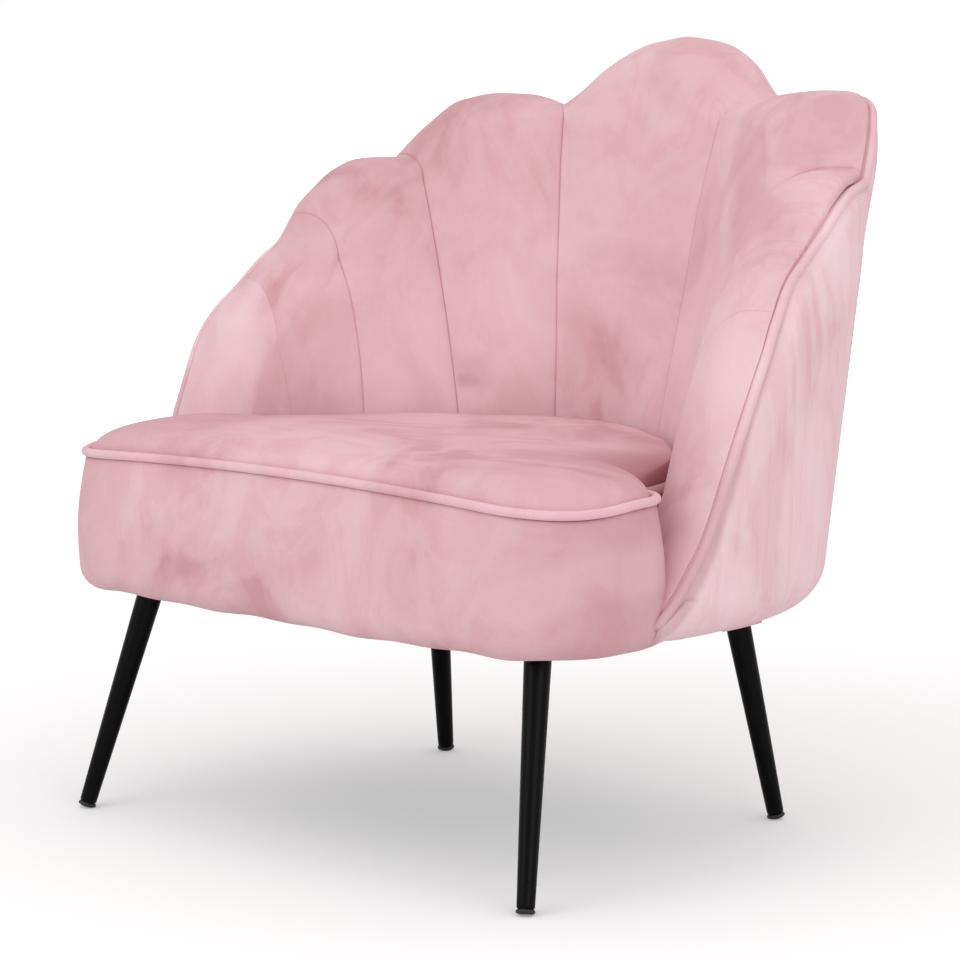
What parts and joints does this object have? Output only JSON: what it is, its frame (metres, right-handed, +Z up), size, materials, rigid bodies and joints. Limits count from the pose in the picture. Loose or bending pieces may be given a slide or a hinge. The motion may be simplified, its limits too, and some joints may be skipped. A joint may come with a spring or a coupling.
{
  "type": "scallop back chair",
  "caption": "Low tub armchair with a scalloped, channelled shell back, a piped box seat and slim splayed tapered legs.",
  "frame": {"origin": "on the floor, under the middle of the chair's overall width and depth", "axes": "+Z up, -Y towards the front of the seat, +X to the right of someone who looks at the front"},
  "size_m": [0.7998, 0.6476, 0.809],
  "materials": {
    "velvet": "matt pink velvet with a brushed nap",
    "wadding": "cream polyester wadding",
    "foam": "cream foam",
    "plywood": "raw plywood",
    "black_steel": "satin black powder coat",
    "zinc_steel": "zinc plated steel",
    "black_plastic": "black moulded plastic",
    "black_felt": "black non-woven felt"
  },
  "bodies": {
    "root": {"outer_shell_cover": "velvet", "shell_wadding": "wadding", "shell_board": "plywood", "shell_base_rib": "plywood", "rim_piping": "velvet", "back_channel_middle": "velvet", "back_channel_left_1": "velvet", "back_channel_left_2": "velvet", "back_channel_left_3": "velvet", "back_channel_right_1": "velvet", "back_channel_right_2": "velvet", "back_channel_right_3": "velvet", "arm_channel_left": "velvet", "arm_channel_right": "velvet", "seat_border": "velvet", "seat_piping": "velvet", "seat_top_pad": "velvet", "seat_rail_front": "plywood", "seat_rail_back": "plywood", "seat_rail_left": "plywood", "seat_rail_right": "plywood", "corner_block_front_left": "plywood", "corner_block_front_right": "plywood", "corner_block_back_left": "plywood", "corner_block_back_right": "plywood", "sinuous_spring_1": "zinc_steel", "sinuous_spring_2": "zinc_steel", "sinuous_spring_3": "zinc_steel", "sinuous_spring_4": "zinc_steel", "sinuous_spring_5": "zinc_steel", "spring_clip_strip_front": "zinc_steel", "spring_clip_strip_back": "zinc_steel", "seat_foam_core": "foam", "leg_plate_front_left": "zinc_steel", "leg_plate_front_right": "zinc_steel", "leg_plate_back_left": "zinc_steel", "leg_plate_back_right": "zinc_steel", "leg_stud_front_left": "zinc_steel", "leg_stud_front_right": "zinc_steel", "leg_stud_back_left": "zinc_steel", "leg_stud_back_right": "zinc_steel", "leg_front_left": "black_steel", "leg_front_right": "black_steel", "leg_back_left": "black_steel", "leg_back_right": "black_steel", "glide_front_left": "black_plastic", "glide_front_right": "black_plastic", "glide_back_left": "black_plastic", "glide_back_right": "black_plastic", "base_board": "plywood", "dust_cover": "black_felt"}
  },
  "joints": []
}
